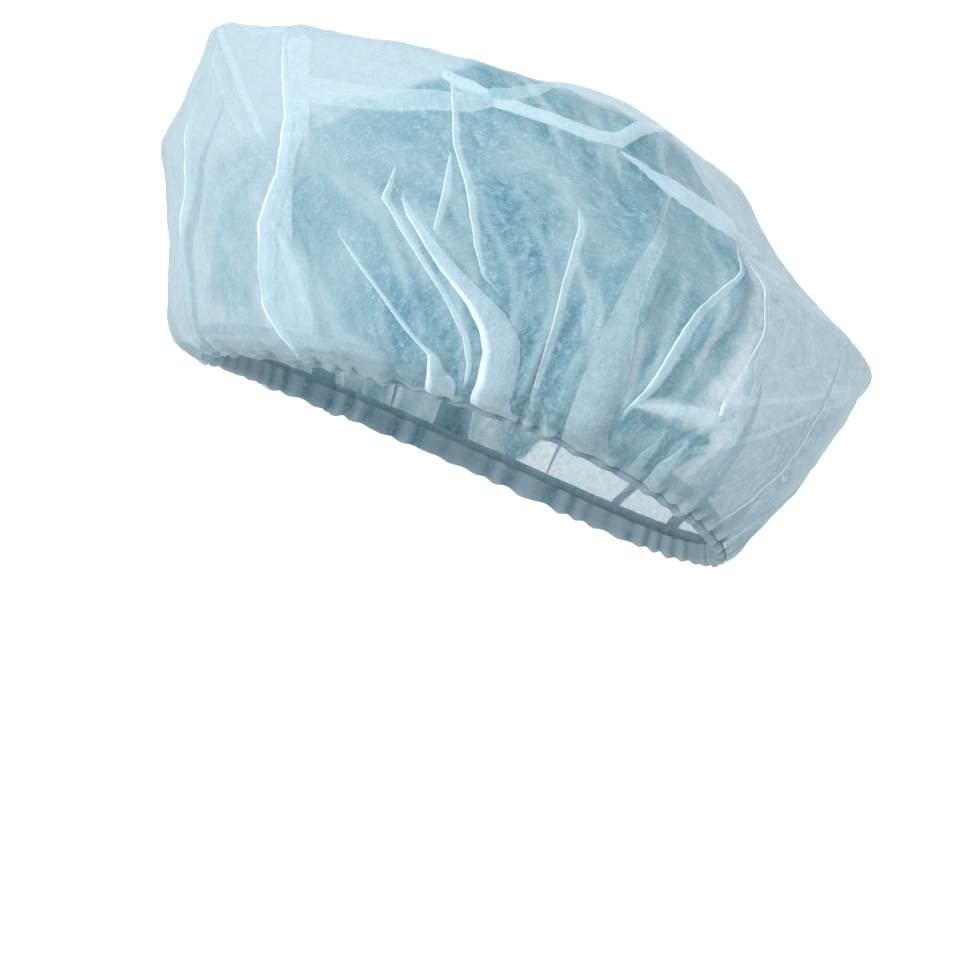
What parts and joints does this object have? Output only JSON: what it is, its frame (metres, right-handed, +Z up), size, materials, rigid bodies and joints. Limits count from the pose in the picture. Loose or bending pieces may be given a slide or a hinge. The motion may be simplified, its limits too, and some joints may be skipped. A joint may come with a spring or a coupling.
{
  "type": "disposable hairnet",
  "caption": "Light-blue disposable bouffant cap in its worn shape: a puffed non-woven crown gathered into an elasticated hem.",
  "frame": {"origin": "centre of the head opening, in the middle of the loop that the elastic makes round the head", "axes": "+Z up when worn, -Y towards the forehead, +Y towards the nape, +X towards the wearer's left"},
  "size_m": [0.1847, 0.2709, 0.193],
  "materials": {
    "nonwoven": "sheer spunbond polypropylene, matt with a faint sheen",
    "hem_cloth": "folded and gathered spunbond polypropylene, matt",
    "elastic": "matt covered elastic"
  },
  "bodies": {
    "root": {"crown": "nonwoven", "hem_casing": "hem_cloth", "elastic_band": "elastic"}
  },
  "joints": []
}
